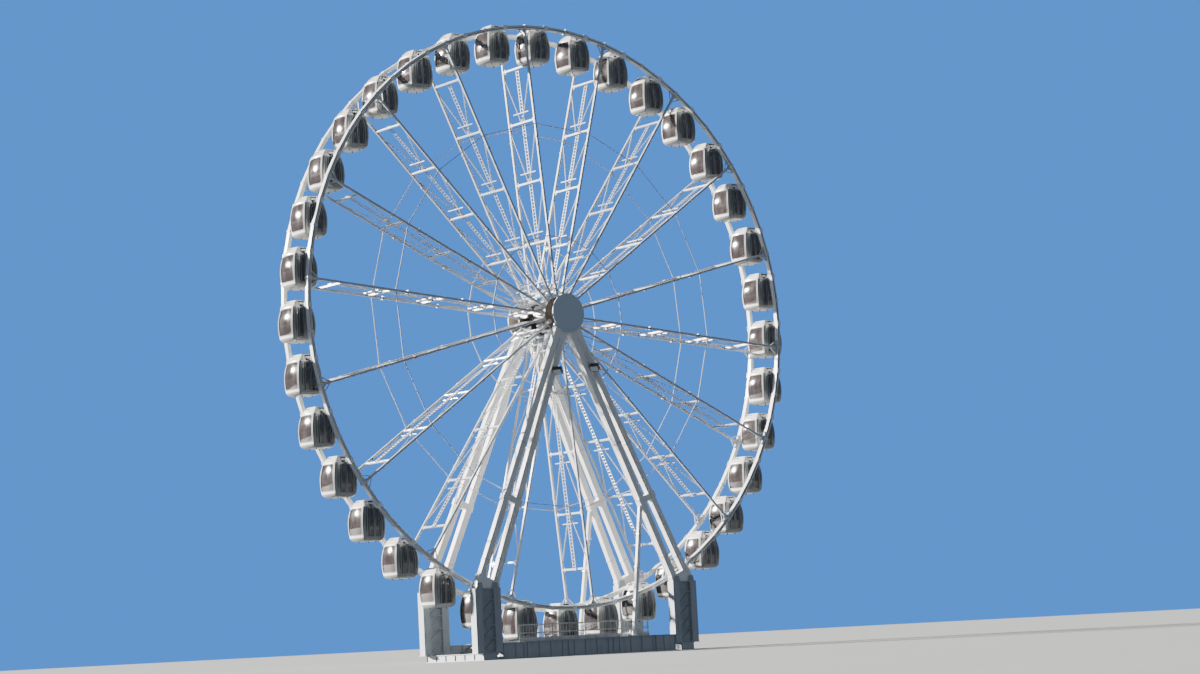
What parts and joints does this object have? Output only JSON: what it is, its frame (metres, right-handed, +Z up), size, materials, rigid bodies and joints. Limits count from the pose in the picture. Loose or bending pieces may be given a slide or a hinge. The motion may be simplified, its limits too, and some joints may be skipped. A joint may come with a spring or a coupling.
{
  "type": "observation wheel, 1:2 scale model",
  "caption": "Transportable ferris wheel: two rims on lattice spokes, level enclosed cabins between them, paired box-beam legs, foot towers and boarding platforms.",
  "frame": {"origin": "on the ground, under the middle of the wheel's axle", "axes": "+Z up, +Y along the axle towards the back, +X to the right seen from the front"},
  "size_m": [21.74, 3.4986, 22.65],
  "materials": {
    "cabin": "glossy moulded panels",
    "cabin_glass": "tinted, curved",
    "cabin_frame": "dark satin door frames",
    "cabin_dark": "matte seals and vents",
    "cabin_seat": "matte moulded seats",
    "wheel_steel": "white gloss paint",
    "leg_steel": "white gloss paint",
    "hub_steel": "grey-brown, weathered",
    "hub_cover": "slate grey, satin",
    "base_steel": "grey paint, satin",
    "platform": "galvanised treads",
    "light_strip": "matte strip",
    "lamp": "matte housings"
  },
  "bodies": {
    "stand": {"bearing_front": "hub_steel", "bearing_back": "hub_steel", "hub_cover_front": "hub_cover", "hub_cover_back": "hub_cover", "prop_front": "leg_steel", "prop_back": "leg_steel", "platform_front": "platform", "platform_back": "platform", "leg_front_left": "leg_steel", "leg_front_right": "leg_steel", "leg_back_left": "leg_steel", "leg_back_right": "leg_steel", "base_left": "base_steel", "base_right": "base_steel", "base_centre": "base_steel"},
    "wheel": {"rim_front": "wheel_steel", "rim_back": "wheel_steel", "spokes_a": "wheel_steel", "spokes_b": "wheel_steel", "spokes_c": "wheel_steel", "spokes_d": "wheel_steel", "spokes_e": "wheel_steel", "spokes_f": "wheel_steel", "hub": "hub_steel"},
    "cabin_01": {"cabin_01": "cabin"},
    "cabin_02": {"cabin_02": "cabin"},
    "cabin_03": {"cabin_03": "cabin"},
    "cabin_04": {"cabin_04": "cabin"},
    "cabin_05": {"cabin_05": "cabin"},
    "cabin_06": {"cabin_06": "cabin"},
    "cabin_07": {"cabin_07": "cabin"},
    "cabin_08": {"cabin_08": "cabin"},
    "cabin_09": {"cabin_09": "cabin"},
    "cabin_10": {"cabin_10": "cabin"},
    "cabin_11": {"cabin_11": "cabin"},
    "cabin_12": {"cabin_12": "cabin"},
    "cabin_13": {"cabin_13": "cabin"},
    "cabin_14": {"cabin_14": "cabin"},
    "cabin_15": {"cabin_15": "cabin"},
    "cabin_16": {"cabin_16": "cabin"},
    "cabin_17": {"cabin_17": "cabin"},
    "cabin_18": {"cabin_18": "cabin"},
    "cabin_19": {"cabin_19": "cabin"},
    "cabin_20": {"cabin_20": "cabin"},
    "cabin_21": {"cabin_21": "cabin"},
    "cabin_22": {"cabin_22": "cabin"},
    "cabin_23": {"cabin_23": "cabin"},
    "cabin_24": {"cabin_24": "cabin"},
    "cabin_25": {"cabin_25": "cabin"},
    "cabin_26": {"cabin_26": "cabin"},
    "cabin_27": {"cabin_27": "cabin"},
    "cabin_28": {"cabin_28": "cabin"},
    "cabin_29": {"cabin_29": "cabin"},
    "cabin_30": {"cabin_30": "cabin"},
    "cabin_31": {"cabin_31": "cabin"},
    "cabin_32": {"cabin_32": "cabin"},
    "cabin_33": {"cabin_33": "cabin"},
    "cabin_34": {"cabin_34": "cabin"},
    "cabin_35": {"cabin_35": "cabin"},
    "cabin_36": {"cabin_36": "cabin"}
  },
  "joints": [
    {"name": "wheel_spin", "type": "hinge", "parent": "stand", "child": "wheel", "pos_m": [0, 0, 12.05], "axis": [0, 1, 0], "continuous": true},
    {"name": "cabin_01_pivot", "type": "hinge", "parent": "wheel", "child": "cabin_01", "pos_m": [0, 0, 22.45], "axis": [0, 1, 0], "continuous": true},
    {"name": "cabin_02_pivot", "type": "hinge", "parent": "wheel", "child": "cabin_02", "pos_m": [1.80594, 0, 22.292], "axis": [0, 1, 0], "continuous": true},
    {"name": "cabin_03_pivot", "type": "hinge", "parent": "wheel", "child": "cabin_03", "pos_m": [3.55701, 0, 21.8228], "axis": [0, 1, 0], "continuous": true},
    {"name": "cabin_04_pivot", "type": "hinge", "parent": "wheel", "child": "cabin_04", "pos_m": [5.2, 0, 21.05666], "axis": [0, 1, 0], "continuous": true},
    {"name": "cabin_05_pivot", "type": "hinge", "parent": "wheel", "child": "cabin_05", "pos_m": [6.68499, 0, 20.01686], "axis": [0, 1, 0], "continuous": true},
    {"name": "cabin_06_pivot", "type": "hinge", "parent": "wheel", "child": "cabin_06", "pos_m": [7.96686, 0, 18.73499], "axis": [0, 1, 0], "continuous": true},
    {"name": "cabin_07_pivot", "type": "hinge", "parent": "wheel", "child": "cabin_07", "pos_m": [9.00666, 0, 17.25], "axis": [0, 1, 0], "continuous": true},
    {"name": "cabin_08_pivot", "type": "hinge", "parent": "wheel", "child": "cabin_08", "pos_m": [9.7728, 0, 15.60701], "axis": [0, 1, 0], "continuous": true},
    {"name": "cabin_09_pivot", "type": "hinge", "parent": "wheel", "child": "cabin_09", "pos_m": [10.242, 0, 13.85594], "axis": [0, 1, 0], "continuous": true},
    {"name": "cabin_10_pivot", "type": "hinge", "parent": "wheel", "child": "cabin_10", "pos_m": [10.4, 0, 12.05], "axis": [0, 1, 0], "continuous": true},
    {"name": "cabin_11_pivot", "type": "hinge", "parent": "wheel", "child": "cabin_11", "pos_m": [10.242, 0, 10.24406], "axis": [0, 1, 0], "continuous": true},
    {"name": "cabin_12_pivot", "type": "hinge", "parent": "wheel", "child": "cabin_12", "pos_m": [9.7728, 0, 8.49299], "axis": [0, 1, 0], "continuous": true},
    {"name": "cabin_13_pivot", "type": "hinge", "parent": "wheel", "child": "cabin_13", "pos_m": [9.00666, 0, 6.85], "axis": [0, 1, 0], "continuous": true},
    {"name": "cabin_14_pivot", "type": "hinge", "parent": "wheel", "child": "cabin_14", "pos_m": [7.96686, 0, 5.36501], "axis": [0, 1, 0], "continuous": true},
    {"name": "cabin_15_pivot", "type": "hinge", "parent": "wheel", "child": "cabin_15", "pos_m": [6.68499, 0, 4.08314], "axis": [0, 1, 0], "continuous": true},
    {"name": "cabin_16_pivot", "type": "hinge", "parent": "wheel", "child": "cabin_16", "pos_m": [5.2, 0, 3.04334], "axis": [0, 1, 0], "continuous": true},
    {"name": "cabin_17_pivot", "type": "hinge", "parent": "wheel", "child": "cabin_17", "pos_m": [3.55701, 0, 2.2772], "axis": [0, 1, 0], "continuous": true},
    {"name": "cabin_18_pivot", "type": "hinge", "parent": "wheel", "child": "cabin_18", "pos_m": [1.80594, 0, 1.808], "axis": [0, 1, 0], "continuous": true},
    {"name": "cabin_19_pivot", "type": "hinge", "parent": "wheel", "child": "cabin_19", "pos_m": [0, 0, 1.65], "axis": [0, 1, 0], "continuous": true},
    {"name": "cabin_20_pivot", "type": "hinge", "parent": "wheel", "child": "cabin_20", "pos_m": [-1.80594, 0, 1.808], "axis": [0, 1, 0], "continuous": true},
    {"name": "cabin_21_pivot", "type": "hinge", "parent": "wheel", "child": "cabin_21", "pos_m": [-3.55701, 0, 2.2772], "axis": [0, 1, 0], "continuous": true},
    {"name": "cabin_22_pivot", "type": "hinge", "parent": "wheel", "child": "cabin_22", "pos_m": [-5.2, 0, 3.04334], "axis": [0, 1, 0], "continuous": true},
    {"name": "cabin_23_pivot", "type": "hinge", "parent": "wheel", "child": "cabin_23", "pos_m": [-6.68499, 0, 4.08314], "axis": [0, 1, 0], "continuous": true},
    {"name": "cabin_24_pivot", "type": "hinge", "parent": "wheel", "child": "cabin_24", "pos_m": [-7.96686, 0, 5.36501], "axis": [0, 1, 0], "continuous": true},
    {"name": "cabin_25_pivot", "type": "hinge", "parent": "wheel", "child": "cabin_25", "pos_m": [-9.00666, 0, 6.85], "axis": [0, 1, 0], "continuous": true},
    {"name": "cabin_26_pivot", "type": "hinge", "parent": "wheel", "child": "cabin_26", "pos_m": [-9.7728, 0, 8.49299], "axis": [0, 1, 0], "continuous": true},
    {"name": "cabin_27_pivot", "type": "hinge", "parent": "wheel", "child": "cabin_27", "pos_m": [-10.242, 0, 10.24406], "axis": [0, 1, 0], "continuous": true},
    {"name": "cabin_28_pivot", "type": "hinge", "parent": "wheel", "child": "cabin_28", "pos_m": [-10.4, 0, 12.05], "axis": [0, 1, 0], "continuous": true},
    {"name": "cabin_29_pivot", "type": "hinge", "parent": "wheel", "child": "cabin_29", "pos_m": [-10.242, 0, 13.85594], "axis": [0, 1, 0], "continuous": true},
    {"name": "cabin_30_pivot", "type": "hinge", "parent": "wheel", "child": "cabin_30", "pos_m": [-9.7728, 0, 15.60701], "axis": [0, 1, 0], "continuous": true},
    {"name": "cabin_31_pivot", "type": "hinge", "parent": "wheel", "child": "cabin_31", "pos_m": [-9.00666, 0, 17.25], "axis": [0, 1, 0], "continuous": true},
    {"name": "cabin_32_pivot", "type": "hinge", "parent": "wheel", "child": "cabin_32", "pos_m": [-7.96686, 0, 18.73499], "axis": [0, 1, 0], "continuous": true},
    {"name": "cabin_33_pivot", "type": "hinge", "parent": "wheel", "child": "cabin_33", "pos_m": [-6.68499, 0, 20.01686], "axis": [0, 1, 0], "continuous": true},
    {"name": "cabin_34_pivot", "type": "hinge", "parent": "wheel", "child": "cabin_34", "pos_m": [-5.2, 0, 21.05666], "axis": [0, 1, 0], "continuous": true},
    {"name": "cabin_35_pivot", "type": "hinge", "parent": "wheel", "child": "cabin_35", "pos_m": [-3.55701, 0, 21.8228], "axis": [0, 1, 0], "continuous": true},
    {"name": "cabin_36_pivot", "type": "hinge", "parent": "wheel", "child": "cabin_36", "pos_m": [-1.80594, 0, 22.292], "axis": [0, 1, 0], "continuous": true}
  ],
  "couplings": [
    {"joint": "cabin_01_pivot", "follows": "wheel_spin", "ratio": -1},
    {"joint": "cabin_02_pivot", "follows": "wheel_spin", "ratio": -1},
    {"joint": "cabin_03_pivot", "follows": "wheel_spin", "ratio": -1},
    {"joint": "cabin_04_pivot", "follows": "wheel_spin", "ratio": -1},
    {"joint": "cabin_05_pivot", "follows": "wheel_spin", "ratio": -1},
    {"joint": "cabin_06_pivot", "follows": "wheel_spin", "ratio": -1},
    {"joint": "cabin_07_pivot", "follows": "wheel_spin", "ratio": -1},
    {"joint": "cabin_08_pivot", "follows": "wheel_spin", "ratio": -1},
    {"joint": "cabin_09_pivot", "follows": "wheel_spin", "ratio": -1},
    {"joint": "cabin_10_pivot", "follows": "wheel_spin", "ratio": -1},
    {"joint": "cabin_11_pivot", "follows": "wheel_spin", "ratio": -1},
    {"joint": "cabin_12_pivot", "follows": "wheel_spin", "ratio": -1},
    {"joint": "cabin_13_pivot", "follows": "wheel_spin", "ratio": -1},
    {"joint": "cabin_14_pivot", "follows": "wheel_spin", "ratio": -1},
    {"joint": "cabin_15_pivot", "follows": "wheel_spin", "ratio": -1},
    {"joint": "cabin_16_pivot", "follows": "wheel_spin", "ratio": -1},
    {"joint": "cabin_17_pivot", "follows": "wheel_spin", "ratio": -1},
    {"joint": "cabin_18_pivot", "follows": "wheel_spin", "ratio": -1},
    {"joint": "cabin_19_pivot", "follows": "wheel_spin", "ratio": -1},
    {"joint": "cabin_20_pivot", "follows": "wheel_spin", "ratio": -1},
    {"joint": "cabin_21_pivot", "follows": "wheel_spin", "ratio": -1},
    {"joint": "cabin_22_pivot", "follows": "wheel_spin", "ratio": -1},
    {"joint": "cabin_23_pivot", "follows": "wheel_spin", "ratio": -1},
    {"joint": "cabin_24_pivot", "follows": "wheel_spin", "ratio": -1},
    {"joint": "cabin_25_pivot", "follows": "wheel_spin", "ratio": -1},
    {"joint": "cabin_26_pivot", "follows": "wheel_spin", "ratio": -1},
    {"joint": "cabin_27_pivot", "follows": "wheel_spin", "ratio": -1},
    {"joint": "cabin_28_pivot", "follows": "wheel_spin", "ratio": -1},
    {"joint": "cabin_29_pivot", "follows": "wheel_spin", "ratio": -1},
    {"joint": "cabin_30_pivot", "follows": "wheel_spin", "ratio": -1},
    {"joint": "cabin_31_pivot", "follows": "wheel_spin", "ratio": -1},
    {"joint": "cabin_32_pivot", "follows": "wheel_spin", "ratio": -1},
    {"joint": "cabin_33_pivot", "follows": "wheel_spin", "ratio": -1},
    {"joint": "cabin_34_pivot", "follows": "wheel_spin", "ratio": -1},
    {"joint": "cabin_35_pivot", "follows": "wheel_spin", "ratio": -1},
    {"joint": "cabin_36_pivot", "follows": "wheel_spin", "ratio": -1}
  ]
}
